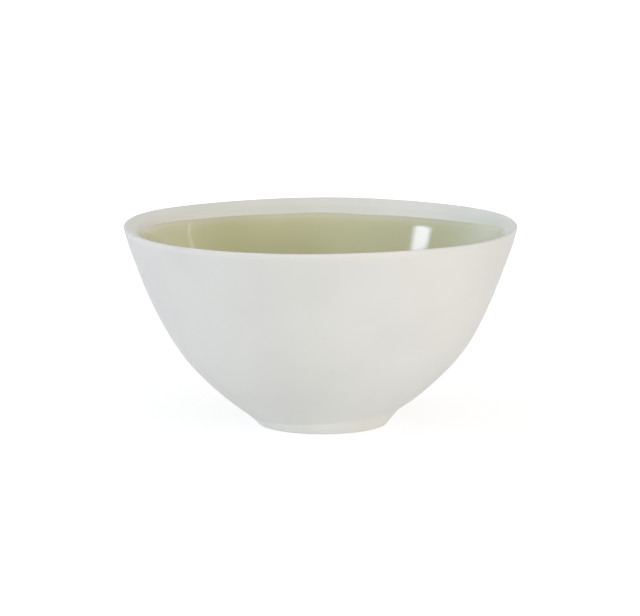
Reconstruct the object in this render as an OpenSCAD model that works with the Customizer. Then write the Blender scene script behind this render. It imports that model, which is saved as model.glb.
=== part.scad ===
// Latte bowl: a handleless porcelain drinking bowl, bare outside and glazed inside.
// The table is z = 0, the bowl's axis is Z, and every length is in millimetres.
// Slopes are in degrees above level, read on the section from the foot up to the lip.

/* [Bowl] */
// Width across the lip at its widest
rim_diameter = 140; // [120:1:165]
// Height from the table to the top of the lip
bowl_height = 71.5; // [67:0.5:80]
// Thickness of the wall just below the lip
lip_thickness = 3.6; // [2.6:0.1:5]
// How much thicker the clay is lying flat than standing upright, as thrown walls are
wall_growth = 1.6; // [0:0.1:3]
// Thickness of the clay under the middle of the floor
floor_thickness = 4.5; // [3.5:0.1:6]
// Radius of the turn from the flat floor into the wall, inside
floor_turn_radius = 30; // [22:1:34]

/* [Belly curve] */
// Slope of the wall where it leaves the foot
foot_slope = 36; // [33:0.5:39]
// Slope where the lower arc passes into the belly arc
lower_slope = 46; // [44:0.5:49]
// Slope where the belly arc passes into the upper arc
belly_slope = 61; // [57:0.5:64]
// Slope of the straight wall below the lip
rim_slope = 71.4; // [69:0.2:74]
// Radius of the long arc above the foot
lower_radius = 140; // [120:5:170]
// Radius of the rounder arc at the belly
belly_radius = 64; // [56:1:72]
// Radius of the long arc that eases the belly into the straight wall
upper_radius = 150; // [120:5:170]

/* [Lip] */
// Radius of the crisp outer edge of the lip
lip_edge_radius = 0.7; // [0.4:0.1:1]
// Slope at which the lip falls inward from its outer edge, before it rounds over into the wall
lip_fall_slope = 7; // [0:0.5:12]
// How tall the lip's rounds stand as a share of their half width: 1 is a plain round
lip_crown_share = 1.06; // [1.02:0.01:1.2]

/* [Foot] */
// Height of the foot ring, from the table to the crease under the wall
foot_height = 3.75; // [3:0.05:5]
// Slope of the foot ring's outer side
foot_side_slope = 52; // [46:1:64]
// Radius of the foot ring's outer lower edge
foot_edge_radius = 3.8; // [2:0.1:4]
// Width of the flat tread that the bowl stands on
tread_width = 1.4; // [0.8:0.1:2.5]
// Radius of the foot ring's inner lower edge
foot_inner_edge_radius = 1.2; // [0.6:0.1:1.6]
// Slope of the foot ring's inner side
foot_inner_slope = 76; // [68:1:84]

/* [Glaze] */
// Thickness of the glaze coat inside
glaze_thickness = 0.45; // [0.3:0.05:0.8]
// Width of the bare wall between the lip's inner round and the glaze
glaze_line_gap = 0.6; // [0.2:0.1:5]
// Length over which the glaze thins out to its edge
glaze_feather = 1.2; // [0.8:0.1:3]

/* [Hidden] */
$fn = 180;

// Neighbouring arcs cross by this hair, so that each pair meets at one clear point
hair = 0.002;
// Distance for which a section piece runs on beneath its neighbour
lap = 2.5;
// Longer than any radius of the bowl, for trimming
reach = 2 * rim_diameter;

// Unit vectors out of the curve and along it, where it has the slope a
function out(a) = [sin(a), -cos(a)];
function along(a) = [cos(a), sin(a)];

// The lip has two slightly tall rounds: a small one at its outer edge, and a wide one that runs on
// from it into the inside. This is where such a round, 1 wide, touches a line that faces the angle a
function touch(a) = [cos(a), pow(lip_crown_share, 2) * sin(a)]
    / sqrt(pow(cos(a), 2) + pow(lip_crown_share * sin(a), 2));

// How far the rounds reach across the wall: at its two sides, and where one runs into the other
fall_angle = 90 + lip_fall_slope;
side_reach = touch(rim_slope - 90) * out(rim_slope);
fall_reach = touch(fall_angle) * out(rim_slope);
// The inner round is as wide as the wall's thickness leaves room for beside the outer edge
lip_inner_radius = (lip_thickness - lip_edge_radius * (side_reach - fall_reach)) / (side_reach + fall_reach);
lip_edge_centre = [rim_diameter / 2 - lip_edge_radius, bowl_height - lip_edge_radius * lip_crown_share];
lip_inner_centre = lip_edge_centre - (lip_inner_radius - lip_edge_radius) * touch(fall_angle);
lip_joint = lip_edge_centre + lip_edge_radius * touch(fall_angle);
inner_tangent = lip_inner_centre + lip_inner_radius * touch(rim_slope + 90);
// Distance from the outer curve to the inner one, before the growth toward the floor is added
wall_inset = lip_thickness - wall_growth * cos(rim_slope);
floor_height = foot_height + floor_thickness;

// The outer curve, settled from the lip downward: knees are where its arcs meet
rim_tangent = lip_edge_centre + lip_edge_radius * touch(rim_slope - 90);
upper_knee_height = foot_height
    + lower_radius * (cos(foot_slope) - cos(lower_slope))
    + belly_radius * (cos(lower_slope) - cos(belly_slope))
    + upper_radius * (cos(belly_slope) - cos(rim_slope));
straight_length = (rim_tangent[1] - upper_knee_height) / sin(rim_slope);
upper_knee = rim_tangent - straight_length * along(rim_slope);
upper_centre = upper_knee - upper_radius * out(rim_slope);
belly_knee = upper_centre + upper_radius * out(belly_slope);
belly_centre = belly_knee - belly_radius * out(belly_slope);
lower_knee = belly_centre + belly_radius * out(lower_slope);
lower_centre = lower_knee - lower_radius * out(lower_slope);
foot_top_radius = (lower_centre + lower_radius * out(foot_slope))[0];

// The turn at the floor, tangent to the floor and to the inner copy of the lower arc
inner_lower_centre = lower_centre + [0, wall_growth];
inner_lower_radius = lower_radius - wall_inset;
turn_height = floor_height + floor_turn_radius;
turn_drop = inner_lower_centre[1] - turn_height;
turn_span = sqrt(pow(inner_lower_radius - floor_turn_radius, 2) - pow(turn_drop, 2));
turn_centre = [inner_lower_centre[0] + turn_span, turn_height];
turn_slope = atan2(turn_span, turn_drop);

// One arc's share of a half section: its disc between two heights
module disc_between(centre, radius, low, high) {
    intersection() {
        translate(centre)
            circle(r = radius);
        translate([0, low])
            square([reach, high - low]);
    }
}

// All that lies within the bowl's curve above a height, with the curve moved in and up
module within_curve(inset, rise, low) {
    shift = [0, rise];
    lower = lower_knee - inset * out(lower_slope) + shift;
    belly = belly_knee - inset * out(belly_slope) + shift;
    upper = upper_knee - inset * out(rim_slope) + shift;
    top = upper + (straight_length + lip_thickness) * along(rim_slope);
    disc_between(lower_centre + shift, lower_radius - inset + hair, low, lower[1]);
    disc_between(belly_centre + shift, belly_radius - inset + 2 * hair, lower[1] - lap, belly[1] + lap);
    disc_between(upper_centre + shift, upper_radius - inset + hair, belly[1], upper[1] + lap);
    polygon([[0, upper[1]], upper, top, [0, top[1]]]);
}

// The hollow inside the clay, less a coat of the given thickness
module hollow(coat) {
    knee = inner_lower_centre[1] - (inner_lower_radius - coat) * cos(turn_slope);
    within_curve(wall_inset + coat, wall_growth, knee);
    disc_between(turn_centre, floor_turn_radius - coat + 2 * hair, floor_height + coat - lap, knee + lap);
    translate([0, floor_height + coat - hair])
        square([turn_centre[0], knee + lap - floor_height - coat]);
}

// Everything below a cut square across the straight wall at a point of the section
module below(point) {
    translate(point)
        rotate(rim_slope - 90)
            translate([-reach, -reach])
                square([2 * reach, reach]);
}

// One of the lip's rounds. The turn sets where it begins and ends, out of the way of the surface
module lip_round(centre, radius, turn) {
    translate(centre)
        rotate(turn)
            scale([1, lip_crown_share])
                circle(r = radius);
}

module wall_section() {
    beyond_edge = rim_tangent + lip_thickness * (along(rim_slope) + out(rim_slope));
    difference() {
        intersection() {
            difference() {
                within_curve(0, 0, foot_height);
                hollow(0);
            }
            union() {
                below(inner_tangent);
                lip_round(lip_inner_centre, lip_inner_radius + hair, 0);
            }
        }
        polygon([rim_tangent, beyond_edge, lip_joint]);
    }
    lip_round(lip_edge_centre, lip_edge_radius + 2 * hair, 180);
}

// How far beyond its centre line a round grown by the hair still cuts the level that it should touch
function overreach(radius) = sqrt(pow(radius + hair, 2) - pow(radius, 2));

// What a round of the given radius takes off a lower corner whose side rises at the slope a
module corner_waste(corner, a, radius, side) {
    setback = radius * tan(a / 2);
    foot = corner - [side * setback, 0];
    flank = corner + setback * [side * cos(a), sin(a)];
    centre = foot + [0, radius];
    difference() {
        polygon([foot, 2 * corner - (foot + flank) / 2, flank]);
        translate(centre)
            circle(r = radius + hair);
    }
}

// The foot ring's section: a low block with leaning sides and both lower edges rounded
module foot_section() {
    outer_corner = foot_top_radius - foot_height / tan(foot_side_slope);
    tread_outer = outer_corner - foot_edge_radius * tan(foot_side_slope / 2) + overreach(foot_edge_radius);
    tread_inner = tread_outer - tread_width + overreach(foot_inner_edge_radius);
    inner_corner = tread_inner - foot_inner_edge_radius * tan(foot_inner_slope / 2);
    inner_top = inner_corner - foot_height / tan(foot_inner_slope);
    difference() {
        polygon([
            [inner_corner, 0],
            [outer_corner, 0],
            [foot_top_radius, foot_height],
            [inner_top, foot_height]
        ]);
        corner_waste([outer_corner, 0], foot_side_slope, foot_edge_radius, 1);
        corner_waste([inner_corner, 0], foot_inner_slope, foot_inner_edge_radius, -1);
    }
}

module glaze_section() {
    edge = inner_tangent - glaze_line_gap * along(rim_slope);
    difference() {
        hollow(0);
        hollow(glaze_thickness);
        // The slanting cut that feathers the coat out, from the clay inward and down
        translate(edge)
            rotate(rim_slope - 90)
                polygon([
                    [glaze_thickness, glaze_feather],
                    [-2 * glaze_thickness, -2 * glaze_feather],
                    [-reach, -2 * glaze_feather],
                    [-reach, reach],
                    [glaze_thickness, reach]
                ]);
    }
}

module bowl_wall() {
    color([0.86, 0.86, 0.84])
        rotate_extrude()
            wall_section();
}

module foot_ring() {
    color([0.84, 0.84, 0.81])
        rotate_extrude()
            foot_section();
}

module inner_glaze() {
    color([0.70, 0.70, 0.56])
        rotate_extrude()
            glaze_section();
}

bowl_wall();
foot_ring();
inner_glaze();
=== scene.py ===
import math

import bmesh
import bpy
import numpy as np
from bpy.props import FloatProperty, FloatVectorProperty, IntProperty, PointerProperty
from mathutils import Matrix, Vector, noise


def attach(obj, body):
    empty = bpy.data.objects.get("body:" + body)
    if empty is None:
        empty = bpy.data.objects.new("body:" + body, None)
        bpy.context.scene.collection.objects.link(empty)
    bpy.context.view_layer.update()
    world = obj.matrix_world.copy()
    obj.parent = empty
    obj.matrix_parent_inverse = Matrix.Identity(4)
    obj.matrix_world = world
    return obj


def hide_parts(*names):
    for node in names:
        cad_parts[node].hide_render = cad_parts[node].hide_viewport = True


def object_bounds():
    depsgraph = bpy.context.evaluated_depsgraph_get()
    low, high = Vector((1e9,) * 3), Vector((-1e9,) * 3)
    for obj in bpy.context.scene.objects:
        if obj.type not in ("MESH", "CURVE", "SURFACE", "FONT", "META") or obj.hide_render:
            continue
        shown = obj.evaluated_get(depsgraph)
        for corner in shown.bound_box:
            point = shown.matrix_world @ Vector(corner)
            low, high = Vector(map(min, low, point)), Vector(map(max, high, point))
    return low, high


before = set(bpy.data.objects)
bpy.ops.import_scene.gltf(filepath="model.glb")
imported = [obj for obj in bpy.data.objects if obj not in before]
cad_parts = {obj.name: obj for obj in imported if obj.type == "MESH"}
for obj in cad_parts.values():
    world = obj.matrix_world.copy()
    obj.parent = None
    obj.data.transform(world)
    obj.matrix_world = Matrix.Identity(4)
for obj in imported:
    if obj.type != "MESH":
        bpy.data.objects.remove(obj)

bl_info = {
    "name": "Latte Bowl",
    "version": (1, 0, 0),
    "blender": (4, 5, 0),
    "location": "3D View > Sidebar > Latte Bowl",
    "description": "Handleless porcelain bowl, bare outside and glazed inside, in a soft studio",
    "category": "Add Mesh",
}

MM = 0.001
CAD_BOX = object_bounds()
CAD_LOW, CAD_HIGH = (Vector(corner) for corner in CAD_BOX)
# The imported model's width and height, to a hundredth of a millimetre
CAD_WIDTH = round(CAD_HIGH.x - CAD_LOW.x, 5)
CAD_HEIGHT = round(CAD_HIGH.z, 5)

# Short forms of the properties

def length(name, description, default):
    """A length in metres."""
    return FloatProperty(
        name=name, description=description, default=default,
        unit="LENGTH", subtype="DISTANCE", precision=5,
    )


def slope(name, description, degrees):
    """An angle, given in degrees."""
    return FloatProperty(
        name=name, description=description, default=math.radians(degrees),
        unit="ROTATION", subtype="ANGLE",
    )


def share(name, description, default, most=1.0):
    """A plain number from nought upward."""
    return FloatProperty(
        name=name, description=description, default=default, min=0.0, max=most, subtype="FACTOR"
    )


def colour(name, description, default):
    """A colour in linear light."""
    return FloatVectorProperty(
        name=name, description=description, default=default, size=3, min=0.0, max=2.0, subtype="COLOR"
    )


def count(name, description, default):
    """A whole number of things."""
    return IntProperty(name=name, description=description, default=default, min=3)


# Sizes and colours that a user would change

class BowlShape(bpy.types.PropertyGroup):
    """The bowl's section: tangent arcs that rise from the foot to the lip."""

    rim_diameter: length("Rim diameter", "Width across the lip at its widest", CAD_WIDTH)
    bowl_height: length("Height", "Height from the table to the top of the lip", CAD_HEIGHT)
    lip_thickness: length("Lip thickness", "Thickness of the wall just below the lip", 3.6 * MM)
    lip_edge_radius: length("Lip edge", "Radius of the crisp outer edge of the lip", 0.7 * MM)
    lip_fall_slope: slope("Lip fall", "Slope at which the lip falls inward from its outer edge", 7)
    lip_crown_share: share("Lip crown", "Height of the lip's rounds against their half width", 1.06, 2.0)
    wall_growth: length("Wall growth", "How much thicker the clay is lying flat than standing", 1.6 * MM)
    floor_thickness: length("Floor thickness", "Thickness of the clay under the floor", 4.5 * MM)
    floor_turn_radius: length("Floor turn", "Radius of the turn from the floor into the wall", 30 * MM)
    foot_slope: slope("Foot slope", "Slope of the wall where it leaves the foot", 36)
    lower_slope: slope("Lower slope", "Slope where the lower arc passes into the belly arc", 46)
    belly_slope: slope("Belly slope", "Slope where the belly arc passes into the upper arc", 61)
    rim_slope: slope("Rim slope", "Slope of the straight wall below the lip", 71.4)
    lower_radius: length("Lower radius", "Radius of the long arc above the foot", 140 * MM)
    belly_radius: length("Belly radius", "Radius of the rounder arc at the belly", 64 * MM)
    upper_radius: length("Upper radius", "Radius of the arc that eases into the straight wall", 150 * MM)
    ankle_draw: length("Ankle draw", "How far the outside is drawn in above the foot", 0.69 * MM)
    ankle_level: length("Ankle level", "Height at which the outside is drawn in most", 4.4 * MM)
    ankle_spread: length("Ankle spread", "Height over which that dies away", 4 * MM)
    shoulder: length("Shoulder", "How far the outside swells just below the lip", 0.24 * MM)
    shoulder_level: length("Shoulder level", "Height at which the outside swells most", 64 * MM)
    shoulder_spread: length("Shoulder spread", "Height over which the swelling dies away", 5 * MM)
    segments: count("Segments", "Steps around the bowl", 256)


class FootShape(bpy.types.PropertyGroup):
    """The turned foot ring that the bowl stands on."""

    height: length("Height", "Height from the table to the flat under the bowl", 3.75 * MM)
    side_slope: slope("Side slope", "Slope of the ring's outer side", 50.7)
    edge_radius: length("Outer edge", "Radius of the ring's outer lower edge", 1.15 * MM)
    inset: length("Inset", "How far the ring lies inside the end of the wall's curve", 0.37 * MM)
    tread_width: length("Tread width", "Width of the flat tread", 1.4 * MM)
    inner_edge_radius: length("Inner edge", "Radius of the ring's inner lower edge", 1.2 * MM)
    inner_slope: slope("Inner slope", "Slope of the ring's inner side", 76)
    shift: length("Shift", "How far the ring sits off the middle of the wall above it", 0.92 * MM)
    crease_softness: length("Crease softness", "How softly the ring runs into the wall", 0.2 * MM)
    turning_depth: length("Turning depth", "Depth of the turned rings under the bowl", 0.035 * MM)
    turning_pitch: length("Turning pitch", "Distance between the turned rings", 1.3 * MM)


class GlazeCoat(bpy.types.PropertyGroup):
    """The coat of glaze inside, which ends in a soft line below the lip."""

    thickness: length("Thickness", "Thickness of the full coat", 0.45 * MM)
    line_shift: length("Line shift", "How much deeper than drawn the coat begins", -0.24 * MM)
    line_unrest: length("Line unrest", "Small unevenness of the line", 0.06 * MM)
    feather: length("Feather", "Length over which the coat thins out to its edge", 1.9 * MM)
    seat: length("Seat", "How far the back of the coat lies in the clay", 0.1 * MM)
    pool: length("Pool", "How much thicker the coat lies on the floor", 0.2 * MM)
    waves: length("Waves", "Height of the coat's slow waves", 0.012 * MM)
    wave_size: length("Wave size", "Distance over which the coat's surface wavers", 12 * MM)


class HandMarks(bpy.types.PropertyGroup):
    """What the maker's hands left on the shape."""

    belly_lean: length("Belly lean", "Sideways lean of the belly", 0.35 * MM)
    belly_level: length("Belly level", "Height at which the belly leans most", 30 * MM)
    belly_spread: length("Belly spread", "Height over which the belly's lean dies away", 12 * MM)
    foot_lean: length("Foot lean", "Sideways lean of the wall at the foot", -0.46 * MM)
    foot_level: length("Foot level", "Height at which the foot leans most", 4 * MM)
    foot_spread: length("Foot spread", "Height over which the foot's lean dies away", 5 * MM)
    lip_lean: length("Lip lean", "Sideways lean of the lip", -0.03 * MM)
    rim_unrest: share("Rim unrest", "How strongly the lip rises and falls around the bowl", 1.0, 5.0)
    ridge: length("Throwing ridges", "Height of the ridges left by the fingers", 0.02 * MM)
    ridge_pitch: length("Ridge pitch", "Distance between the ridges", 6.5 * MM)


class Finishes(bpy.types.PropertyGroup):
    """Colours of the fired clay and the glaze, in linear light. Some of them are painted light, shade or
    reflection.
    """

    porcelain: colour("Porcelain", "Bare porcelain of the outside", (0.614, 0.625, 0.609))
    # Painted light and shade on the band inside the lip: lighter copies of the bare porcelain, paler
    # toward the glaze
    inner_porcelain: colour("Inner porcelain", "Bare band inside the lip", (0.642, 0.655, 0.628))
    band_foot: colour("Band foot", "Bare band where it meets the glaze", (0.670, 0.688, 0.664))
    # Painted light: the band's right side, lit from the left, made paler
    lit_side: colour("Dry side", "Foot of the band where it dried palest", (0.755, 0.770, 0.738))
    lit_top: colour("Dry top", "Top of the band where it dried palest", (0.676, 0.694, 0.655))
    # Painted shade: the band's top at the back left made darker
    shaded_top: colour("Touched top", "Top of the band where it was touched", (0.613, 0.623, 0.598))
    # Painted highlight: the lip's outer edge, made paler where light catches it
    lip_edge: colour("Lip edge", "Outer edge of the lip, rubbed pale", (0.653, 0.6525, 0.626))
    # Painted light: the wall above the foot made paler, standing for light thrown up from the floor
    ankle_painted_light: colour("Ankle", "Wall above the foot, scraped by the turning tool", (0.656, 0.668, 0.651))
    # Painted light: the foot made much paler than the wall's porcelain, standing for light thrown up
    # from the floor under the bowl
    foot: colour("Foot", "Bare porcelain of the turned foot", (0.709, 0.726, 0.706))
    # Painted shade: a soft darker patch on the foot near its front right
    foot_shade: colour("Foot shade", "Foot where it was handled most", (0.663, 0.675, 0.650))
    stain: colour("Stain", "Slight stain of the worn tread", (0.60, 0.585, 0.545))
    freckle: colour("Freckle", "Rare speck in the bare clay", (0.52, 0.49, 0.43))
    fringe: colour("Glaze fringe", "Where the glaze is a mere breath on the clay", (0.52, 0.50, 0.455))
    thin_glaze: colour("Thin glaze", "Glaze near its line", (0.54, 0.55, 0.405))
    full_glaze: colour("Full glaze", "Glaze at its full thickness", (0.487, 0.498, 0.317))
    deep_glaze: colour("Deep glaze", "Glaze where it lies thickest", (0.38, 0.385, 0.195))
    # Painted reflection: the glaze at the right end, paler where it mirrors the white rim and surround
    glaze_reflection: colour("Pale glaze", "Glaze where the coat is thin and milky", (0.60, 0.635, 0.50))
    glaze_dot: colour("Glaze dot", "Rare pale dot in the glaze", (0.66, 0.66, 0.52))
    porcelain_roughness: share("Porcelain roughness", "Roughness of the smoothed bare clay", 0.58)
    glaze_roughness: share("Glaze roughness", "Roughness of the fired glaze", 0.07)


class Studio(bpy.types.PropertyGroup):
    """Camera and lights. Light levels are radiances: 1 is the white of the background."""

    camera_distance: length("Camera distance", "From the middle of the bowl to the camera", 1.5)
    camera_elevation: slope("Camera elevation", "Angle of the camera above the table", 9.75)
    camera_roll: slope("Camera roll", "Turn of the camera about its line of sight", -0.064)
    focal_length: FloatProperty(
        name="Focal length", description="Focal length of the lens", default=236.3, unit="CAMERA"
    )
    fill: share("Fill", "Light that comes from all round", 0.515, 10.0)
    table_glow: share("Table glow", "Light that comes up through the table", 0.20, 10.0)
    overhead: share("Overhead", "Soft light over the bowl", 0.5, 10.0)
    front_fill: share("Front fill", "Broad light beside the camera", 1.65, 10.0)
    left_fill: share("Left fill", "Broad cool light at the left", 2.25, 10.0)
    right_fill: share("Right fill", "Broad warm light at the right", 3.5, 10.0)
    window: share("Window", "Bright narrow window at the left", 12.1, 50.0)
    strip: share("Strip", "Thin light at the right, behind", 3.0, 50.0)
    front_tint: colour("Front tint", "Tint of the light beside the camera", (0.99, 1.03, 0.96))
    warm: colour("Warm", "Tint of the light from the right", (1.137, 0.975, 0.844))
    cool: colour("Cool", "Tint of the light from the left", (0.895, 0.974, 1.09))
    window_tint: colour("Window tint", "Tint of the window", (0.97, 0.985, 1.25))


class LatteBowl(bpy.types.PropertyGroup):
    """All settings of the bowl and its studio."""

    bowl: PointerProperty(type=BowlShape)
    foot: PointerProperty(type=FootShape)
    glaze: PointerProperty(type=GlazeCoat)
    marks: PointerProperty(type=HandMarks)
    finishes: PointerProperty(type=Finishes)
    studio: PointerProperty(type=Studio)


# The bowl's section

ARC_STEPS = 400
# How far past the foot's slope the lower arc runs on, below the crease
ARC_OVERLAP = math.radians(4)
# Distance below the top of the straight wall over which the outside's swelling ends
SWELL_END = 3 * MM
# Heights between which the soft crease sets in above the tread
CREASE_LEVELS = (1 * MM, 2 * MM)


def out(angle):
    """Unit vector out of the curve where it has the given slope."""
    return np.array((np.sin(angle), -np.cos(angle)))


def along(angle):
    """Unit vector up the curve where it has the given slope."""
    return np.array((np.cos(angle), np.sin(angle)))


def arc(centre, radius, first, last):
    """Points of an arc between two slopes, each a radius and a height."""
    slopes = np.linspace(first, last, ARC_STEPS)
    return centre + radius * out(slopes).T


def lip_arc(centre, radius, crown, first, last):
    """Points of one of the lip's slightly tall rounds, between two directions that it faces."""
    facing = np.linspace(first, last, ARC_STEPS)
    reach = np.hypot(np.cos(facing), crown * np.sin(facing))
    touch = np.stack((np.cos(facing) / reach, crown ** 2 * np.sin(facing) / reach), axis=1)
    return centre + radius * touch


class Section:
    """The half section of the wall and foot, worked out from the lip downward."""

    def __init__(self, bowl, foot):
        rim = bowl.rim_slope
        crown = bowl.lip_crown_share
        edge = bowl.lip_edge_radius

        # The crisp outer edge, then the wide inner round that takes up the rest of the wall's thickness
        outward, fall = rim - math.pi / 2, math.pi / 2 + bowl.lip_fall_slope
        unit = lip_arc(0.0, 1.0, crown, outward, fall)
        side_reach, fall_reach = unit[0] @ out(rim), unit[-1] @ out(rim)
        edge_part = edge * (side_reach - fall_reach)
        inner_round = (bowl.lip_thickness - edge_part) / (side_reach + fall_reach)
        edge_centre = np.array((bowl.rim_diameter / 2 - edge, bowl.bowl_height - edge * crown))
        round_centre = edge_centre - (inner_round - edge) * unit[-1]
        self.lip_edge = lip_arc(edge_centre, edge, crown, outward, fall)
        lip_round = lip_arc(round_centre, inner_round, crown, fall, rim + math.pi / 2)

        rim_tangent = self.lip_edge[0]
        upper_knee_height = (
            foot.height
            + bowl.lower_radius * (math.cos(bowl.foot_slope) - math.cos(bowl.lower_slope))
            + bowl.belly_radius * (math.cos(bowl.lower_slope) - math.cos(bowl.belly_slope))
            + bowl.upper_radius * (math.cos(bowl.belly_slope) - math.cos(rim))
        )
        straight_length = (rim_tangent[1] - upper_knee_height) / math.sin(rim)
        upper_centre = rim_tangent - straight_length * along(rim) - bowl.upper_radius * out(rim)
        belly_centre = upper_centre + (bowl.upper_radius - bowl.belly_radius) * out(bowl.belly_slope)
        lower_centre = belly_centre + (bowl.belly_radius - bowl.lower_radius) * out(bowl.lower_slope)
        self.outer = np.vstack((
            arc(lower_centre, bowl.lower_radius, bowl.foot_slope - ARC_OVERLAP, bowl.lower_slope),
            arc(belly_centre, bowl.belly_radius, bowl.lower_slope, bowl.belly_slope),
            arc(upper_centre, bowl.upper_radius, bowl.belly_slope, rim),
            rim_tangent,
        ))

        inset = bowl.lip_thickness - bowl.wall_growth * math.cos(rim)
        rise = np.array((0.0, bowl.wall_growth))
        floor = foot.height + bowl.floor_thickness
        inner_radius = bowl.lower_radius - inset
        inner_centre = lower_centre + rise
        turn_drop = inner_centre[1] - floor - bowl.floor_turn_radius
        turn_span = math.sqrt((inner_radius - bowl.floor_turn_radius) ** 2 - turn_drop ** 2)
        turn_slope = math.atan2(turn_span, turn_drop)
        turn_centre = inner_centre + np.array((turn_span, -turn_drop))
        # From the lip's edge over its round and down to the middle of the floor
        self.inner = np.vstack((
            lip_round,
            arc(upper_centre + rise, bowl.upper_radius - inset, rim, bowl.belly_slope),
            arc(belly_centre + rise, bowl.belly_radius - inset, bowl.belly_slope, bowl.lower_slope),
            arc(inner_centre, inner_radius, bowl.lower_slope, turn_slope),
            arc(turn_centre, bowl.floor_turn_radius, turn_slope, 0.0),
            ((0.0, floor),),
        ))
        steps = np.hypot(*np.diff(self.inner, axis=0).T)
        self.inner_run = np.concatenate(((0.0,), np.cumsum(steps)))
        self.inner_length = self.inner_run[-1]
        self.inner_depths = bowl.bowl_height - self.inner[:, 1]
        tangents = np.gradient(self.inner, axis=0)
        tangents /= np.hypot(*tangents.T)[:, None]
        self.inner_normals = np.stack((tangents[:, 1], -tangents[:, 0]), axis=1)
        self.inner_normals[-1] = (0.0, 1.0)

        foot_top = lower_centre[0] + bowl.lower_radius * math.sin(bowl.foot_slope)
        self.bowl, self.foot = bowl, foot
        self.foot_corner = foot_top - foot.inset - foot.height / math.tan(foot.side_slope)
        self.tread_outer = self.foot_corner - foot.edge_radius * math.tan(foot.side_slope / 2)
        self.tread_inner = self.tread_outer - foot.tread_width
        inner_corner = self.tread_inner - foot.inner_edge_radius * math.tan(foot.inner_slope / 2)
        self.foot_inner_top = inner_corner - foot.height / math.tan(foot.inner_slope)
        flatness = 1 / math.tan(bowl.foot_slope) - 1 / math.tan(foot.side_slope)
        self.crease_rise = foot.shift / flatness
        ledge = self.foot_radius(foot.height) - self.outer_radius(foot.height)
        self.crease_middle = foot.height + float(ledge) / flatness

    def outer_radius(self, height):
        """Radius of the wall's outside at a height."""
        bowl = self.bowl
        drawn_in = swell(height, bowl.ankle_draw, bowl.ankle_level, bowl.ankle_spread)
        swollen = swell(height, bowl.shoulder, bowl.shoulder_level, bowl.shoulder_spread)
        swollen = swollen * smooth_step(self.outer[-1, 1] - height, 0.0, SWELL_END)
        return np.interp(height, self.outer[:, 1], self.outer[:, 0]) - drawn_in + swollen

    def inner_point(self, run, lift):
        """Radius and height at a distance down the inside from the lip, lifted off the clay."""
        place = [np.interp(run, self.inner_run, values) for values in self.inner.T]
        normal = [np.interp(run, self.inner_run, values) for values in self.inner_normals.T]
        return place[0] + normal[0] * lift, place[1] + normal[1] * lift

    def run_at(self, depth):
        """Distance down the inside from the lip's edge to a depth below the lip."""
        return np.interp(depth, self.inner_depths, self.inner_run)

    def foot_radius(self, height):
        """Radius of the foot ring's outer side at a height, about the ring's own middle."""
        foot = self.foot
        drop = np.clip(foot.edge_radius - height, 0.0, foot.edge_radius)
        rounded = self.tread_outer + np.sqrt(foot.edge_radius ** 2 - drop ** 2)
        leaning = self.foot_corner + height / math.tan(foot.side_slope)
        tangent_height = foot.edge_radius * (1 - math.cos(foot.side_slope))
        return np.where(height < tangent_height, rounded, leaning)

    def crease_height(self, angles):
        """Height of the crease between foot and wall, which the foot's shift tilts."""
        return self.crease_middle + self.crease_rise * np.cos(angles)

    def skirt_radius(self, height, angles):
        """Radius of the outside where the foot ring runs into the wall, about the wall's middle."""
        ring = self.foot_radius(height) + self.foot.shift * np.cos(angles)
        beyond = self.outer_radius(height) - ring
        soft = (beyond + np.sqrt(beyond ** 2 + 4 * self.foot.crease_softness ** 2)) / 2
        return ring + soft * smooth_step(height, *CREASE_LEVELS)


def swell(height, amount, level, spread):
    """A soft swelling that is strongest at a level."""
    return amount * np.exp(-((height - level) / spread) ** 2)


def smooth_step(value, low, high):
    """Eases from 0 at low to 1 at high."""
    part = np.clip((value - low) / (high - low), 0.0, 1.0)
    return part * part * (3 - 2 * part)


# Meshes of revolution

# Rings of points in each part of the meshes, and how strongly some crowd toward the part's start
RINGS = {
    "underside": 64, "skirt": 30, "wall": 92, "lip_edge": 19, "inside_near": 44, "inside_far": 64,
    "tread": 5, "foot_side": 34, "foot_edge": 12, "foot_inner": 8, "glaze_near": 36, "glaze_far": 110,
}
CROWDING = {"skirt": 1.5, "foot_side": 2, "glaze_near": 1.7}
# Faces that meet at more than this angle keep their edge sharp
SHARP_ANGLE = math.radians(35)


def crowded(part):
    """Shares from 0 to 1 for the rings of a part, closer together toward its start."""
    return (np.linspace(0.0, 1.0, RINGS[part]) ** CROWDING[part])[:, None]


def around(bowl):
    """The angles of the steps around the bowl, from +X."""
    return np.arange(bowl.segments) * (2 * math.pi / bowl.segments)


def revolved(radius, height, angles):
    """Rings of points. Radius and height are one number for each ring, or one for each point."""
    radius = np.asarray(radius, float)
    height = np.asarray(height, float)
    if radius.ndim == 1:
        radius = radius[:, None]
    if height.ndim == 1:
        height = height[:, None]
    radius, height, turn = np.broadcast_arrays(radius, height, angles)
    return np.stack((radius * np.cos(turn), radius * np.sin(turn), height), axis=2)


def shifted(rings, sideways):
    """The rings moved along X."""
    return rings + np.array((sideways, 0.0, 0.0))


# How the lip rises and falls: waves in one turn, their height in millimetres, and the degrees
# around from +X at which the first of them is highest
RIM_WAVES = ((1, 0.037, 90.0), (2, 0.076, -23.6), (3, 0.237, 39.9), (4, 0.119, 2.9), (5, 0.126, 15.6))
# How steeply the lip's lean and its unrest grow from the table up to the lip
LEAN_GROWTH = 4
UNREST_GROWTH = 3


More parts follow.
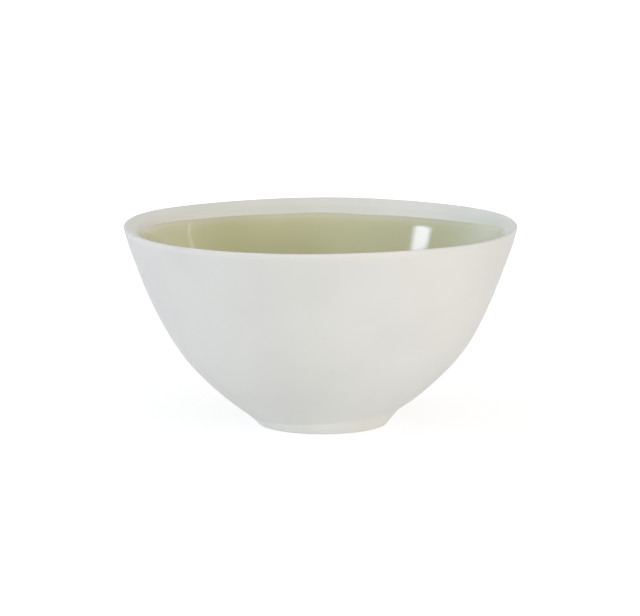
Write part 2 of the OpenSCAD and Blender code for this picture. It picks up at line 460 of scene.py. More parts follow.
def hand_shaped(points, marks, bowl):
    """Lean the points as the thrown and dried bowl leans."""
    shaped = np.array(points, float)
    height = shaped[..., 2].copy()
    level = height / bowl.bowl_height
    turn = np.arctan2(shaped[..., 1], shaped[..., 0])
    sideways = (
        swell(height, marks.belly_lean, marks.belly_level, marks.belly_spread)
        + swell(height, marks.foot_lean, marks.foot_level, marks.foot_spread)
        + marks.lip_lean * level ** LEAN_GROWTH
    )
    warp = sum(size * np.cos(waves * (turn - math.radians(first))) for waves, size, first in RIM_WAVES)
    shaped[..., 0] += sideways
    shaped[..., 2] += marks.rim_unrest * warp * MM * level ** UNREST_GROWTH
    return shaped


def smooth_noise(points, size, start):
    """Smooth noise from about -1 to 1 at each point, which changes over the given length."""
    offset = Vector((start, -start, 2 * start))
    flat = points.reshape(-1, 3) / size
    values = [noise.noise(Vector(place) + offset) for place in flat]
    return np.array(values).reshape(points.shape[:-1])


def closed_mesh(name, rings, first_pole=None, last_pole=None):
    """A closed mesh through the rings. Without poles the last ring joins the first."""
    ring_count, steps = rings.shape[:2]
    points = [tuple(point) for point in rings.reshape(-1, 3)]
    faces = []
    loops = ring_count - 1 if first_pole is not None else ring_count
    for ring in range(loops):
        low = ring * steps
        high = (ring + 1) % ring_count * steps
        for step in range(steps):
            after = (step + 1) % steps
            faces.append((low + step, low + after, high + after, high + step))
    if first_pole is not None:
        first = len(points)
        points.append(tuple(first_pole))
        points.append(tuple(last_pole))
        top = (ring_count - 1) * steps
        for step in range(steps):
            after = (step + 1) % steps
            faces.append((first, after, step))
            faces.append((first + 1, top + step, top + after))
    mesh = bpy.data.meshes.new(name)
    mesh.from_pydata(points, [], faces)
    work = bmesh.new()
    work.from_mesh(mesh)
    bmesh.ops.recalc_face_normals(work, faces=work.faces)
    work.to_mesh(mesh)
    work.free()
    mesh.shade_smooth()
    mesh.set_sharp_from_angle(angle=SHARP_ANGLE)
    return mesh


def store(mesh, name, values):
    """Store one number for each point of a mesh, for its material to read."""
    attribute = mesh.attributes.new(name, "FLOAT", "POINT")
    attribute.data.foreach_set("value", values.astype(np.float32))


def new_piece(name, mesh, material, node):
    """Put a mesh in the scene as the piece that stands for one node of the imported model."""
    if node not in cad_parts:
        raise RuntimeError("The packed model has no node named " + node)
    old = bpy.data.objects.get(name)
    if old is not None:
        bpy.data.objects.remove(old)
    piece = bpy.data.objects.new(name, mesh)
    mesh.materials.append(material)
    bpy.context.scene.collection.objects.link(piece)
    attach(piece, "root")
    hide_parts(node)
    return piece


# The turned flat under the bowl: how near the foot its rings end, and the small button in its
# middle with its first ring's radius, the radii between which it ends and its depth in ring depths
TURNING_END = 2 * MM
BUTTON_MIDDLE = 0.4 * MM
BUTTON_EDGE = (1.5 * MM, 4 * MM)
BUTTON_SHARE = 3
# Height up to which the wall's rings follow the tilt of the crease
SKIRT_TOP = 10 * MM
# Distance down from the lip over which the inside's rings lie close together
NEAR_LIP = 12 * MM
# Distances below the top of the straight wall where the painted highlight on the lip's edge begins and
# where it is full
HIGHLIGHT_START = 1.7 * MM
HIGHLIGHT_FULL = 0.2 * MM


def wall_mesh(settings):
    """The bare shell: underside, outer curve, lip and the inside beneath the glaze."""
    bowl, foot, marks = settings.bowl, settings.foot, settings.marks
    section = Section(bowl, foot)
    angles = around(bowl)

    # The turned flat inside the foot ring, with a small button left in the middle
    radii = np.linspace(BUTTON_MIDDLE, section.foot_inner_top, RINGS["underside"])
    within_foot = smooth_step(section.foot_inner_top - radii, 0.0, TURNING_END)
    waves = foot.turning_depth * np.cos(2 * math.pi * radii / foot.turning_pitch) * within_foot
    button_depth = BUTTON_SHARE * foot.turning_depth
    button = button_depth * (1 - smooth_step(radii, *BUTTON_EDGE))
    underside = shifted(revolved(radii, foot.height + waves - button, angles), foot.shift)

    # From the tilted crease up to where the wall is level again
    rise = crowded("skirt")
    heights = section.crease_height(angles) * (1 - rise) + SKIRT_TOP * rise
    skirt = revolved(section.skirt_radius(heights, angles), heights, angles)

    # The thrown wall, with slight ridges that climb once around at each pitch
    tangent_height = section.outer[-1, 1]
    heights = np.linspace(SKIRT_TOP, tangent_height, RINGS["wall"])[1:]
    fading_in = smooth_step(heights, SKIRT_TOP, 2 * SKIRT_TOP)
    fading = fading_in * smooth_step(tangent_height - heights, 0.0, SKIRT_TOP)
    climb = 2 * math.pi * heights[:, None] / marks.ridge_pitch + angles
    ridges = marks.ridge * fading[:, None] * np.sin(climb)
    wall = revolved(section.outer_radius(heights)[:, None] + ridges, heights, angles)

    edge = revolved(*section.lip_edge[:: ARC_STEPS // RINGS["lip_edge"]].T, angles)[1:]
    near = np.linspace(0.0, NEAR_LIP, RINGS["inside_near"])[1:]
    far = np.linspace(NEAR_LIP, section.inner_length, RINGS["inside_far"])[1:-1]
    inside = revolved(*section.inner_point(np.concatenate((near, far)), 0.0), angles)

    rings = np.concatenate((underside, skirt, wall, edge, inside))
    rings = hand_shaped(rings, marks, bowl)
    floor = section.inner[-1, 1]
    bottom = (foot.shift, 0.0, foot.height + foot.turning_depth - button_depth)
    poles = hand_shaped(np.array((bottom, (0.0, 0.0, floor))), marks, bowl)
    mesh = closed_mesh("porcelain_shell", rings, poles[0], poles[1])

    bare = len(underside) + len(skirt) + len(wall)
    rows = np.arange(len(rings))
    shares = smooth_step(rows, bare, bare + len(edge))
    store(mesh, "inner_share", np.concatenate((np.repeat(shares, bowl.segments), (0.0, 1.0))))
    # Painted highlight: the lip's outer edge is made paler, from a little way down the wall to where it
    # falls inward
    edge_highlight = np.ones(len(rings))
    edge_highlight[:bare] = 0.0
    highlight_levels = (tangent_height - HIGHLIGHT_START, tangent_height - HIGHLIGHT_FULL)
    edge_highlight[bare - len(wall):bare] = smooth_step(heights, *highlight_levels)
    edge_highlight[bare + len(edge):] = 0.0
    store(mesh, "edge_share", np.concatenate((np.repeat(edge_highlight, bowl.segments), (0.0, 0.0))))
    return mesh


def foot_mesh(settings):
    """The foot ring: tread, rounded outer side up to the crease, seat and leaning inner side."""
    bowl, foot, marks = settings.bowl, settings.foot, settings.marks
    section = Section(bowl, foot)
    angles = around(bowl)

    tread_radii = np.linspace(section.tread_inner, section.tread_outer, RINGS["tread"])[:-1]
    tread = revolved(tread_radii, np.zeros(len(tread_radii)), angles)
    heights = section.crease_height(angles) * crowded("foot_side")
    side = revolved(section.skirt_radius(heights, angles), heights, angles)

    turns = np.linspace(foot.inner_slope, 0.0, RINGS["foot_edge"])
    inner_radii = section.tread_inner - foot.inner_edge_radius * np.sin(turns)
    inner_heights = foot.inner_edge_radius * (1 - np.cos(turns))
    drop = np.linspace(0.0, 1.0, RINGS["foot_inner"])[:-1]
    side_radii = section.foot_inner_top + (inner_radii[0] - section.foot_inner_top) * drop
    side_heights = foot.height + (inner_heights[0] - foot.height) * drop
    inner_radii = np.concatenate((side_radii, inner_radii[:-1]))
    inner_heights = np.concatenate((side_heights, inner_heights[:-1]))
    inner = revolved(inner_radii, inner_heights, angles)

    rings = np.concatenate((shifted(tread, foot.shift), side, shifted(inner, foot.shift)))
    return closed_mesh("turned_foot", hand_shaped(rings, marks, bowl))


# The line at which the glaze ends: degrees around from +X, and millimetres below the lip
GLAZE_LINE = (
    (-90, 3.5), (-40, 3.2), (3, 2.95), (15, 3.65), (27, 4.5), (40, 5.15), (52, 5.32), (66, 5.4),
    (75, 5.72), (83, 5.3), (93, 5.05), (104, 5.3), (116, 5.15), (130, 4.98), (145, 4.45), (163, 3.75),
    (171, 3.6), (178, 4.5), (195, 4.4), (230, 3.9),
)
# The steps around the bowl to each side over which that line is eased
LINE_EASING = 3
# Distance below the line over which the coat's rings lie close together
NEAR_LINE = 8 * MM
# Thickness of the coat at its very edge
LEAST_COAT = 0.02 * MM
# Heights between which the pool on the floor ends
POOL_LEVELS = (9 * MM, 20 * MM)


def glaze_line(angles):
    """Depth of the glaze line below the lip at each angle, eased between the drawn places."""
    places, depths = np.array(GLAZE_LINE).T
    drawn = np.interp(np.degrees(angles), places, depths, period=360) * MM
    steps = range(-LINE_EASING, LINE_EASING + 1)
    return sum(np.roll(drawn, step) for step in steps) / len(steps)


def glaze_mesh(settings):
    """The coat of glaze. Its share of the full thickness is stored at each point."""
    bowl, glaze, marks = settings.bowl, settings.glaze, settings.marks
    section = Section(bowl, settings.foot)
    angles = around(bowl)

    # The line wavers broadly and, half as much, finely. These sizes are in radii of the bowl
    circle = np.stack((np.cos(angles), np.sin(angles), np.zeros(len(angles))), axis=1)
    broad = smooth_noise(circle, size=0.35, start=3.0)
    fine = smooth_noise(circle, size=0.12, start=8.0) / 2
    depth = (
        glaze_line(angles)
        + glaze.line_shift
        + glaze.line_unrest * broad
        + glaze.line_unrest * fine
    )
    line = section.run_at(depth)

    # Rings close together below the line, then evenly on to the middle of the floor
    near = crowded("glaze_near") * NEAR_LINE
    far = np.linspace(0.0, 1.0, RINGS["glaze_far"])[1:-1, None]
    below_line = line + NEAR_LINE
    run = np.concatenate((line + near, below_line + (section.inner_length - below_line) * far))
    below = run - line

    radius, height = section.inner_point(run, 0.0)
    clay = revolved(radius, height, angles)
    coat = glaze.thickness * (1 - np.exp(-below / glaze.feather))
    pool = glaze.pool * (1 - smooth_step(height, *POOL_LEVELS))
    waves = glaze.waves * smooth_noise(clay, glaze.wave_size, start=5.0) * coat / glaze.thickness
    lift = LEAST_COAT + coat + pool + waves
    front = revolved(*section.inner_point(run, lift), angles)[::-1]
    back = revolved(*section.inner_point(run, -glaze.seat), angles)

    rings = hand_shaped(np.concatenate((front, back)), marks, bowl)
    floor = section.inner[-1, 1]
    top = floor + LEAST_COAT + glaze.thickness + glaze.pool
    poles = hand_shaped(np.array(((0.0, 0.0, top), (0.0, 0.0, floor - glaze.seat))), marks, bowl)
    mesh = closed_mesh("glaze_coat", rings, poles[0], poles[1])

    shares = coat / glaze.thickness
    store(mesh, "coat_share", np.concatenate((shares[::-1].ravel(), shares.ravel(), (1.0, 1.0))))
    return mesh


# Materials

WHITE = (1.0, 1.0, 1.0, 1.0)
BLACK = (0.0, 0.0, 0.0, 1.0)
# How strongly the fired clay and the glaze bend light
REFRACTION = 1.5
# The middle range of the noise, and a wider one
NOISE_MIDDLE = (0.35, 0.65)
NOISE_WIDE = (0.3, 0.7)
# Places of the bowl where the clay or the glaze looks a little different. Most are painted light, shade
# or reflection: the band's lit side and shaded top, the lip's edge without its painted highlight, a
# shaded patch on the foot and a pale reflection in the glaze. The glaze's thick side and spot are its
# own colour. Each has its middle, how far it is at full strength and how far it reaches, in millimetres,
# and its greatest strength
PLACES = {
    "lit_band": ((59, 34, 68), 20, 60, 1.0),
    "shaded_band": ((-37, 59, 71.5), 8, 38, 1.0),
    "unhighlighted_edge": ((58, -40, 71), 16, 46, 1.0),
    "shaded_foot": ((21, -12, 2), 8, 34, 1.0),
    "thick_side": ((-34, 53, 51), 4, 27, 0.6),
    "thick_spot": ((-9, 58, 50), 3, 20, 0.5),
    "reflecting_side": ((66, 20, 63), 4, 38, 0.9),
}


def add_node(tree, kind, inputs=None, **settings):
    """Add a node. An input is a value, or the socket of another node to join to it."""
    node = tree.nodes.new("ShaderNode" + kind)
    for name, value in settings.items():
        setattr(node, name, value)
    for name, value in (inputs or {}).items():
        if isinstance(value, bpy.types.NodeSocket):
            tree.links.new(value, node.inputs[name])
        else:
            node.inputs[name].default_value = value
    return node


def new_material(name):
    """An empty material and its node tree."""
    material = bpy.data.materials.new(name)
    material.use_nodes = True
    material.node_tree.nodes.clear()
    return material, material.node_tree


def finish_material(tree, shader):
    """Join the shader to the material's output."""
    output = add_node(tree, "OutputMaterial")
    tree.links.new(shader.outputs[0], output.inputs["Surface"])


def as_rgba(values):
    """A colour with full alpha."""
    return (*values, 1.0)


def mixed(tree, factor, first, second):
    """A mix of two colours, each a colour or a socket."""
    # The node has a set of sockets for each kind of value: these are the ones for colours
    node = add_node(tree, "Mix", {0: factor, 6: first, 7: second}, data_type="RGBA")
    return node.outputs[2]


def ranged(tree, value, low, high, to_low, to_high):
    """A value carried smoothly from one range to another."""
    node = add_node(
        tree, "MapRange",
        {"Value": value, "From Min": low, "From Max": high, "To Min": to_low, "To Max": to_high},
        interpolation_type="SMOOTHSTEP",
    )
    return node.outputs["Result"]


def scaled(tree, value, to_low, to_high):
    """A value from 0 to 1 carried evenly to another range."""
    node = add_node(tree, "MapRange", {"Value": value, "To Min": to_low, "To Max": to_high})
    return node.outputs["Result"]


def stored(tree, name):
    """A number stored with the mesh."""
    return add_node(tree, "Attribute", attribute_name=name).outputs["Fac"]


def own_place(tree):
    """The place on the bowl, in the bowl's own frame, and its height alone."""
    place = add_node(tree, "TexCoord").outputs["Object"]
    return place, add_node(tree, "SeparateXYZ", {"Vector": place}).outputs["Z"]


def clouds(tree, place, size, detail=2.0):
    """Noise from 0 to 1 that changes over the given length."""
    inputs = {"Vector": place, "Scale": 1 / size, "Detail": detail, "Roughness": 0.5}
    return add_node(tree, "TexNoise", inputs).outputs["Fac"]


def bumped(tree, height, depth, strength=1.0, normal=None):
    """A surface normal that follows a height over the given depth, on top of another if given."""
    inputs = {"Height": height, "Distance": depth, "Strength": strength}
    if normal is not None:
        inputs["Normal"] = normal
    return add_node(tree, "Bump", inputs).outputs["Normal"]


def near_to(tree, place, name):
    """A number that is highest near one of the bowl's places and eases to 0 at its reach."""
    middle, full, reach, most = PLACES[name]
    middle = tuple(part * MM for part in middle)
    node = add_node(tree, "VectorMath", {0: place, 1: middle}, operation="DISTANCE")
    return ranged(tree, node.outputs["Value"], full * MM, reach * MM, most, 0.0)


# The share of a speck's radius that has its full colour
SPECK_MIDDLE = 0.3


def specks(tree, place, spacing, radius, kept):
    """Small round specks, 1 in their middle. Only the given share of them is kept."""
    node = add_node(tree, "TexVoronoi", {"Vector": place, "Scale": 1 / spacing, "Randomness": 1.0})
    edge = radius / spacing
    spot = ranged(tree, node.outputs["Distance"], SPECK_MIDDLE * edge, edge, 1.0, 0.0)
    parts = add_node(tree, "SeparateColor", {"Color": node.outputs["Color"]})
    chosen = add_node(tree, "Math", {0: parts.outputs["Red"], 1: kept}, operation="LESS_THAN")
    return add_node(tree, "Math", {0: spot, 1: chosen.outputs[0]}, operation="MULTIPLY").outputs[0]


def add_fired_surface(tree, base, shine, normal):
    """Join the shader of fired clay or glaze to the material's output."""
    inputs = {"Base Color": base, "Roughness": shine, "Normal": normal, "IOR": REFRACTION}
    finish_material(tree, add_node(tree, "BsdfPrincipled", inputs))


# The bare clay's clouds, its grain, and the marks of smoothing hands: how large, how deep or strong
CLOUD_SIZE = 28 * MM
CLOUD_SHADE = 0.035
GRAIN_SIZE = 0.45 * MM
GRAIN_DEPTH = 0.012 * MM
GRAIN_SHINE = 0.04
HAND_SIZE = 5 * MM
HAND_DEPTH = 0.03 * MM


def bare_clay(tree, place, body, finishes):
    """The look of smoothed bare porcelain: faint clouds, fine grain and a rare speck."""
    shade = ranged(tree, clouds(tree, place, CLOUD_SIZE), *NOISE_MIDDLE, CLOUD_SHADE, 0.0)
    toned = mixed(tree, shade, body, BLACK)
    freckles = specks(tree, place, spacing=11 * MM, radius=0.35 * MM, kept=0.3)
    freckled = mixed(tree, freckles, toned, as_rgba(finishes.freckle))
    grain = clouds(tree, place, GRAIN_SIZE, detail=3.0)
    fine = bumped(tree, grain, GRAIN_DEPTH)
    broad = bumped(tree, clouds(tree, place, HAND_SIZE), HAND_DEPTH, normal=fine)
    roughness = finishes.porcelain_roughness
    shine = ranged(tree, grain, *NOISE_WIDE, roughness - GRAIN_SHINE, roughness + GRAIN_SHINE)
    return freckled, shine, broad


# The bare band, with painted light and shade: distances below the lip where it has the colour of its
# paler foot and of its darker top
BAND_FOOT = 4.5 * MM
BAND_TOP = 1 * MM
# Heights between which the painted light on the wall above the foot ends
ANKLE_LIGHT_LEVELS = (3 * MM, 15 * MM)


def porcelain_material(finishes, bowl):
    """Bare matt porcelain of the wall, with painted light and shade: a highlight on the lip's edge, a
    paler wall above the foot, and a band inside that is paler toward the glaze and on the right and
    darker at its top.
    """
    material, tree = new_material("bare_porcelain")
    place, level = own_place(tree)

    # Inside: painted light makes the band paler toward the glaze and paler still on the right, and
    # painted shade darkens its top at the back left
    lip = bowl.bowl_height
    below_lip = ranged(tree, level, lip - BAND_FOOT, lip - BAND_TOP, 1.0, 0.0)
    lit_band = near_to(tree, place, "lit_band")
    shaded_band = near_to(tree, place, "shaded_band")
    band_foot = mixed(tree, lit_band, as_rgba(finishes.band_foot), as_rgba(finishes.lit_side))
    paler_top = mixed(tree, lit_band, as_rgba(finishes.inner_porcelain), as_rgba(finishes.lit_top))
    band_top = mixed(tree, shaded_band, paler_top, as_rgba(finishes.shaded_top))
    band = mixed(tree, below_lip, band_top, band_foot)

    # Outside: painted light makes the wall above the foot paler, and a painted highlight pales the lip's
    # outer edge, except at the right front
    # Painted light: the wall is paler toward the foot
    ankle_light = ranged(tree, level, *ANKLE_LIGHT_LEVELS, 1.0, 0.0)
    outside = mixed(tree, ankle_light, as_rgba(finishes.porcelain), as_rgba(finishes.ankle_painted_light))
    body = mixed(tree, stored(tree, "inner_share"), outside, band)
    # Painted highlight along the lip's edge, left out at the right front
    unhighlighted_edge = near_to(tree, place, "unhighlighted_edge")
    edge_highlight = mixed(tree, unhighlighted_edge, as_rgba(finishes.lip_edge), as_rgba(finishes.porcelain))
    edged = mixed(tree, stored(tree, "edge_share"), body, edge_highlight)
    add_fired_surface(tree, *bare_clay(tree, place, edged, finishes))
    return material


# The foot's tread: the share of the foot's height over which it is worn, and how strongly
WORN_SHARE = 0.15
WORN_STRENGTH = 0.8
# The lines that the turning tool left around the foot
TOOL_LINE_SIZE = 0.35 * MM
TOOL_LINE_DEPTH = 0.01 * MM


def foot_material(finishes, foot):
    """Turned porcelain of the foot, with a patch of painted shade, worn and a little stained on the
    tread.
    """
    material, tree = new_material("foot_porcelain")
    place, level = own_place(tree)
    # Painted shade: the foot darker near its front right
    shaded_foot = near_to(tree, place, "shaded_foot")
    body = mixed(tree, shaded_foot, as_rgba(finishes.foot), as_rgba(finishes.foot_shade))
    base, shine, normal = bare_clay(tree, place, body, finishes)
    worn = ranged(tree, level, 0.0, WORN_SHARE * foot.height, WORN_STRENGTH, 0.0)
    stained = mixed(tree, worn, base, as_rgba(finishes.stain))
    lines = clouds(tree, level, TOOL_LINE_SIZE)
    turned = bumped(tree, lines, TOOL_LINE_DEPTH, strength=0.6, normal=normal)
    add_fired_surface(tree, stained, shine, turned)
    return material


# The glaze's pooled colour: between which shares of the bowl's height it ends, and how strong it is
POOLED_SHARES = (0.1, 0.75)
POOLED_STRENGTH = 0.7
STREAK_SIZE = 14 * MM
STREAK_STRENGTH = 0.05
# The share of the full coat from which on the glaze is glassy, and the ripples of its skin
GLASSY_SHARE = 0.3
RIPPLE_SIZE = 1.6 * MM
RIPPLE_DEPTH = 0.0025 * MM


def glaze_material(finishes, bowl):
    """Glossy sage glaze: pale and dull where it thins out, deeper and glassy where it is full."""
    material, tree = new_material("sage_glaze")
    place, level = own_place(tree)
    coat = stored(tree, "coat_share")
    ramp = add_node(tree, "ValToRGB", {"Fac": coat})
    # The colour at shares of the full coat
    stops = (
        (0.0, finishes.band_foot),
        (0.12, finishes.fringe),
        (0.28, finishes.fringe),
        (0.48, finishes.thin_glaze),
        (0.93, finishes.full_glaze),
    )
    while len(ramp.color_ramp.elements) < len(stops):
        ramp.color_ramp.elements.new(1.0)
    for element, (position, value) in zip(ramp.color_ramp.elements, stops):
        element.position = position
        element.color = as_rgba(value)

    # Deeper toward the floor
    low, high = (part * bowl.bowl_height for part in POOLED_SHARES)
    pooled = ranged(tree, level, low, high, POOLED_STRENGTH, 0.0)
    body = mixed(tree, pooled, ramp.outputs["Color"], as_rgba(finishes.deep_glaze))
    # The coat ran thicker down one side; at the other end, on the right, a painted reflection of the
    # white rim and surround makes the glaze pale
    for name, look in (
        ("thick_side", finishes.deep_glaze),
        ("thick_spot", finishes.deep_glaze),
        ("reflecting_side", finishes.glaze_reflection),
    ):
        body = mixed(tree, near_to(tree, place, name), body, as_rgba(look))
    streaks = ranged(tree, clouds(tree, place, STREAK_SIZE), *NOISE_MIDDLE, 0.0, STREAK_STRENGTH)
    uneven = mixed(tree, streaks, body, as_rgba(finishes.thin_glaze))
    dots = specks(tree, place, spacing=7 * MM, radius=0.3 * MM, kept=0.35)
    dotted = mixed(tree, dots, uneven, as_rgba(finishes.glaze_dot))
    dull, glassy = finishes.porcelain_roughness, finishes.glaze_roughness
    shine = ranged(tree, coat, 0.0, GLASSY_SHARE, dull, glassy)
    ripple = bumped(tree, clouds(tree, place, RIPPLE_SIZE), RIPPLE_DEPTH)
    add_fired_surface(tree, dotted, shine, ripple)
    return material


def seen_directly(tree):
    """1 for what is seen straight, in a reflection or through glass, 0 for light on things."""
    path = add_node(tree, "LightPath")
    total = path.outputs["Is Camera Ray"]
    for name in ("Is Glossy Ray", "Is Transmission Ray"):
        largest = add_node(tree, "Math", {0: total, 1: path.outputs[name]}, operation="MAXIMUM")
        total = largest.outputs[0]
    return total


# The floor: half its width, its paint, and the darker paint that is seen together with a glow. Near
# the bowl the glow leaves room for the shadow. It rises to white between the two distances
FLOOR_HALF = 6.0
FLOOR_PAINT = (0.88, 0.88, 0.87)
SEEN_PAINT = (0.36, 0.36, 0.36)
SHADOW_GLOW = 0.73
SHADOW_DISTANCES = (0.15, 0.6)


def floor_material(studio):
    """A pale floor, lit a little from below, that looks white and keeps the bowl's shadow."""
    material, tree = new_material("pale_floor")
    paint = add_node(tree, "BsdfDiffuse", {"Color": as_rgba(FLOOR_PAINT)})
    through = add_node(tree, "Emission", {"Color": WHITE, "Strength": studio.table_glow})
    lit = add_node(tree, "AddShader", {0: paint.outputs[0], 1: through.outputs[0]})

    place = add_node(tree, "TexCoord").outputs["Object"]
    away = add_node(tree, "VectorMath", {0: place}, operation="LENGTH").outputs["Value"]
    strength = ranged(tree, away, *SHADOW_DISTANCES, SHADOW_GLOW, 1.0)
    seen_paint = add_node(tree, "BsdfDiffuse", {"Color": as_rgba(SEEN_PAINT)})
    glow = add_node(tree, "Emission", {"Color": WHITE, "Strength": strength})
    shown = add_node(tree, "AddShader", {0: seen_paint.outputs[0], 1: glow.outputs[0]})

    shaders = {0: seen_directly(tree), 1: lit.outputs[0], 2: shown.outputs[0]}
    finish_material(tree, add_node(tree, "MixShader", shaders))
    return material


def studio_world(studio):
    """A white surround, with a plainer light level for what it shines on."""
    world = bpy.data.worlds.new("studio")
    world.use_nodes = True
    tree = world.node_tree
    tree.nodes.clear()
    strength = scaled(tree, seen_directly(tree), studio.fill, 1.0)
    background = add_node(tree, "Background", {"Color": WHITE, "Strength": strength})
    output = add_node(tree, "OutputWorld")
    tree.links.new(background.outputs[0], output.inputs["Surface"])
    return world


# Studio

# Where the middle of the bowl is, for the lights around it
LIT_MIDDLE = Vector((0.0, 0.0, 0.05))
# The broad lights: azimuth and elevation in degrees, distance, and width and height in metres
BROAD_LIGHTS = {
    "overhead_light": ((0, 90), 1.2, (1.3, 1.3)),
    "front_light": ((0, 12), 2.2, (1.6, 0.8)),
    "left_light": ((-76, 20), 1.8, (1.2, 0.9)),
    "right_light": ((50, 20), 1.8, (1.2, 0.9)),
}


def direction(azimuth, elevation):
    """Unit vector at an angle to the right of the camera's side of the bowl, and above the table."""
    return Vector((
        math.sin(azimuth) * math.cos(elevation),
        -math.cos(azimuth) * math.cos(elevation),
        math.sin(elevation),
    ))


def add_broad_light(name, radiance, tint=WHITE[:3]):
    """Hang one of the broad lights, which doesn't show in the glaze."""
    (azimuth, elevation), distance, (width, height) = BROAD_LIGHTS[name]
    lamp = bpy.data.lights.new(name, "AREA")
    lamp.shape = "RECTANGLE"
    lamp.size = width
    lamp.size_y = height
    lamp.color = tint
    lamp.energy = radiance * math.pi * width * height
    holder = bpy.data.objects.new(name, lamp)
    toward = direction(math.radians(azimuth), math.radians(elevation))
    holder.location = LIT_MIDDLE + toward * distance
    holder.rotation_euler = (-toward).to_track_quat("-Z", "Y").to_euler()
    holder.visible_camera = False
    holder.visible_glossy = False
    bpy.context.scene.collection.objects.link(holder)


# The window and the strip as the middle of the bowl sees them: at each elevation the azimuths of
# the two sides, in degrees. The glaze curves, so it takes slanting shapes to mirror upright ones
WINDOW_ROWS = (
    (19.5, -69.5, -81.6), (21.4, -69.6, -81.9), (22.2, -69.7, -82.3), (22.7, -69.7, -82.8),
    (23.4, -69.8, -83.3), (23.9, -69.8, -83.2), (24.6, -69.9, -82.7), (25.2, -70.1, -81.6),
    (25.8, -70.4, -80.0), (26.3, -70.6, -78.6), (27.0, -70.85, -76.6), (27.7, -71.0, -74.2),
)
STRIP_ROWS = (
    (17.4, 102.0, 104.2), (18.0, 101.9, 104.3), (18.9, 101.8, 104.4), (20.0, 101.7, 103.7),
    (22.0, 101.3, 103.0), (26.0, 101.4, 103.1),
)
# How far in from its sides each one fades, in degrees, and how far from the bowl they stand
WINDOW_FADE = 2.6
STRIP_FADE = 1.0
PANEL_DISTANCE = 1.56


def add_panel(name, rows, softness, radiance, tint=WHITE[:3]):
    """Stand up a glowing panel that only reflections show. Its sides fade to the surround's white."""
    material, tree = new_material(name)
    strength = scaled(tree, stored(tree, "glow_share"), 1.0, radiance)
    finish_material(tree, add_node(tree, "Emission", {"Color": as_rgba(tint), "Strength": strength}))
    material.cycles.emission_sampling = "FRONT_BACK"
    corners = []
    for elevation, first, last in rows:
        fade = math.copysign(min(softness, abs(last - first) / 2), last - first)
        for azimuth in (first - fade, first + fade, last - fade, last + fade):
            toward = direction(math.radians(azimuth), math.radians(elevation))
            corners.append(LIT_MIDDLE + PANEL_DISTANCE * toward)
    shares = (0.0, 1.0, 1.0, 0.0)
    columns = len(shares)
    faces = []
    for row in range(len(rows) - 1):
        for start in range(columns * row, columns * row + columns - 1):
            faces.append((start, start + 1, start + columns + 1, start + columns))
    mesh = bpy.data.meshes.new(name)
    mesh.from_pydata(corners, [], faces)
    store(mesh, "glow_share", np.tile(shares, len(rows)))
    mesh.materials.append(material)
    panel = bpy.data.objects.new(name, mesh)
    panel.visible_camera = False
    bpy.context.scene.collection.objects.link(panel)


def add_lights(studio):
    """Put the studio's lights round the bowl."""
    add_panel("window_panel", WINDOW_ROWS, WINDOW_FADE, studio.window, studio.window_tint)
    add_panel("strip_panel", STRIP_ROWS, STRIP_FADE, studio.strip)
    add_broad_light("overhead_light", studio.overhead)
    add_broad_light("front_light", studio.front_fill, studio.front_tint)
    add_broad_light("left_light", studio.left_fill, studio.cool)
    add_broad_light("right_light", studio.right_fill, studio.warm)


def add_floor(studio):
    """Lay the floor, which isn't part of the bowl."""
    mesh = bpy.data.meshes.new("floor")
    signs = ((-1, -1), (1, -1), (1, 1), (-1, 1))
    corners = [(FLOOR_HALF * across, FLOOR_HALF * back, 0) for across, back in signs]
    mesh.from_pydata(corners, [], [(0, 1, 2, 3)])
    mesh.materials.append(floor_material(studio))
    floor = bpy.data.objects.new("floor", mesh)
    bpy.context.scene.collection.objects.link(floor)


# What the camera's distance and elevation are measured from, and what it looks at
CAMERA_MIDDLE = Vector((0.0, 0.0, 36 * MM))
CAMERA_AIM = Vector((-0.257 * MM, 0.0, 41.40 * MM))
SENSOR_WIDTH = 36.0
NEAREST_SEEN = 0.01


def add_camera(studio):
    """Set the camera where the photograph was taken from."""
    camera_data = bpy.data.cameras.new("camera")
    camera_data.lens = studio.focal_length
    camera_data.sensor_width = SENSOR_WIDTH
    camera_data.clip_start = NEAREST_SEEN
    camera = bpy.data.objects.new("camera", camera_data)
    camera.location = CAMERA_MIDDLE + direction(0.0, studio.camera_elevation) * studio.camera_distance
    gaze = (CAMERA_AIM - camera.location).to_track_quat("-Z", "Y").to_matrix().to_4x4()
    camera.rotation_euler = (gaze @ Matrix.Rotation(studio.camera_roll, 4, "Z")).to_euler()
    bpy.context.scene.collection.objects.link(camera)
    bpy.context.scene.camera = camera


# Operators

class LATTEBOWL_OT_bowl_wall(bpy.types.Operator):
    """Make the bare porcelain shell from its section"""

    bl_idname = "lattebowl.bowl_wall"
    bl_label = "Bowl Wall"

    def execute(self, context):
        settings = context.scene.latte_bowl
        material = porcelain_material(settings.finishes, settings.bowl)
        new_piece("porcelain_shell", wall_mesh(settings), material, "bowl_wall")
        return {"FINISHED"}


class LATTEBOWL_OT_foot_ring(bpy.types.Operator):
    """Make the turned foot ring under the shell"""

    bl_idname = "lattebowl.foot_ring"
    bl_label = "Foot Ring"

    def execute(self, context):
        settings = context.scene.latte_bowl
        material = foot_material(settings.finishes, settings.foot)
        new_piece("turned_foot", foot_mesh(settings), material, "foot_ring")
        return {"FINISHED"}


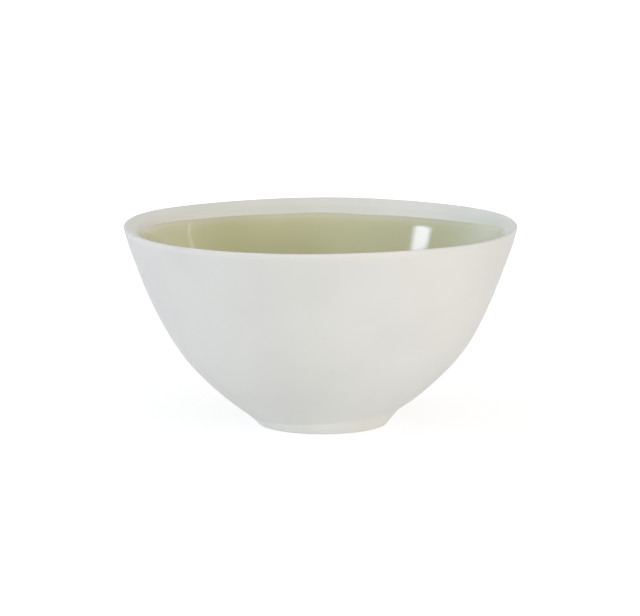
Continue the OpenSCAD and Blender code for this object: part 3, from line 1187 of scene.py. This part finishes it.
class LATTEBOWL_OT_inner_glaze(bpy.types.Operator):
    """Lay the coat of glaze inside the shell"""

    bl_idname = "lattebowl.inner_glaze"
    bl_label = "Inner Glaze"

    def execute(self, context):
        settings = context.scene.latte_bowl
        material = glaze_material(settings.finishes, settings.bowl)
        new_piece("glaze_coat", glaze_mesh(settings), material, "inner_glaze")
        return {"FINISHED"}


class LATTEBOWL_OT_stage(bpy.types.Operator):
    """Set up the floor, the lights, the surround and the camera"""

    bl_idname = "lattebowl.stage"
    bl_label = "Stage"

    def execute(self, context):
        studio = context.scene.latte_bowl.studio
        add_floor(studio)
        add_lights(studio)
        add_camera(studio)
        context.scene.world = studio_world(studio)
        context.scene.view_settings.view_transform = "Standard"
        return {"FINISHED"}


PIECE_OPERATORS = (
    LATTEBOWL_OT_bowl_wall,
    LATTEBOWL_OT_foot_ring,
    LATTEBOWL_OT_inner_glaze,
    LATTEBOWL_OT_stage,
)


class LATTEBOWL_PT_panel(bpy.types.Panel):
    """Lists the bowl's settings and the steps that make it"""

    bl_idname = "LATTEBOWL_PT_panel"
    bl_label = "Latte Bowl"
    bl_space_type = "VIEW_3D"
    bl_region_type = "UI"
    bl_category = "Latte Bowl"

    def draw(self, context):
        for operator in PIECE_OPERATORS:
            self.layout.operator(operator.bl_idname)
        settings = context.scene.latte_bowl
        for group in ("bowl", "foot", "glaze", "marks", "finishes", "studio"):
            box = self.layout.box()
            box.label(text=group.capitalize())
            values = getattr(settings, group)
            for name in values.__annotations__:
                box.prop(values, name)


SETTING_GROUPS = (BowlShape, FootShape, GlazeCoat, HandMarks, Finishes, Studio, LatteBowl)
CLASSES = (*SETTING_GROUPS, *PIECE_OPERATORS, LATTEBOWL_PT_panel)


def register():
    for item in CLASSES:
        bpy.utils.register_class(item)
    bpy.types.Scene.latte_bowl = PointerProperty(type=LatteBowl)


def unregister():
    del bpy.types.Scene.latte_bowl
    for item in reversed(CLASSES):
        bpy.utils.unregister_class(item)


def main():
    register()
    bpy.ops.lattebowl.bowl_wall()
    bpy.ops.lattebowl.foot_ring()
    bpy.ops.lattebowl.inner_glaze()
    bpy.ops.lattebowl.stage()


if __name__ == "__main__":
    main()
